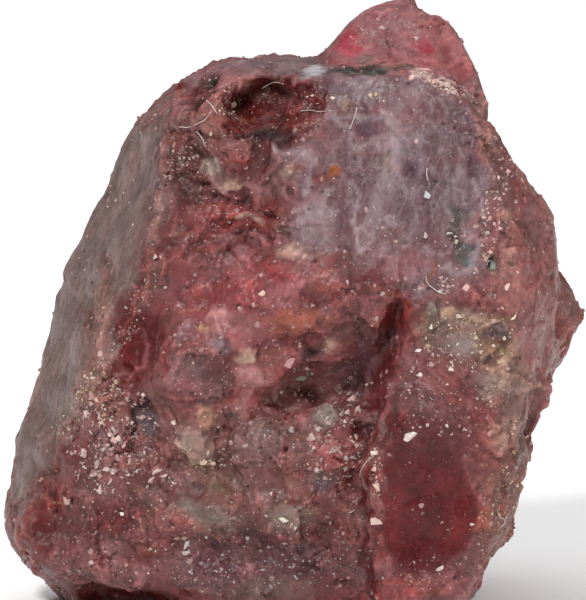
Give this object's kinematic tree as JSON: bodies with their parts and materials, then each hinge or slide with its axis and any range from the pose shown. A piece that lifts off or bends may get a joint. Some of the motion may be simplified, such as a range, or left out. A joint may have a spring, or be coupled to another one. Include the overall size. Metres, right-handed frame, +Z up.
{
  "type": "raw ruby crystal",
  "caption": "Raw, opaque ruby crystal: a broken barrel of corundum with flat growth faces, pits, a deep crevice and a small crystal grown on top, standing on a flat base.",
  "frame": {"origin": "centre of the bounding box at the flat base", "axes": "+Z up, from the flat base to the small crystal on top; -Y towards the front with the crevice; +X to the right as seen from the front"},
  "size_m": [0.0156, 0.0118, 0.016],
  "materials": {
    "raw_ruby": "opaque to slightly translucent dark red corundum with a satin skin and glittering broken grains"
  },
  "bodies": {
    "root": {"ruby_crystal": "raw_ruby"}
  },
  "joints": []
}
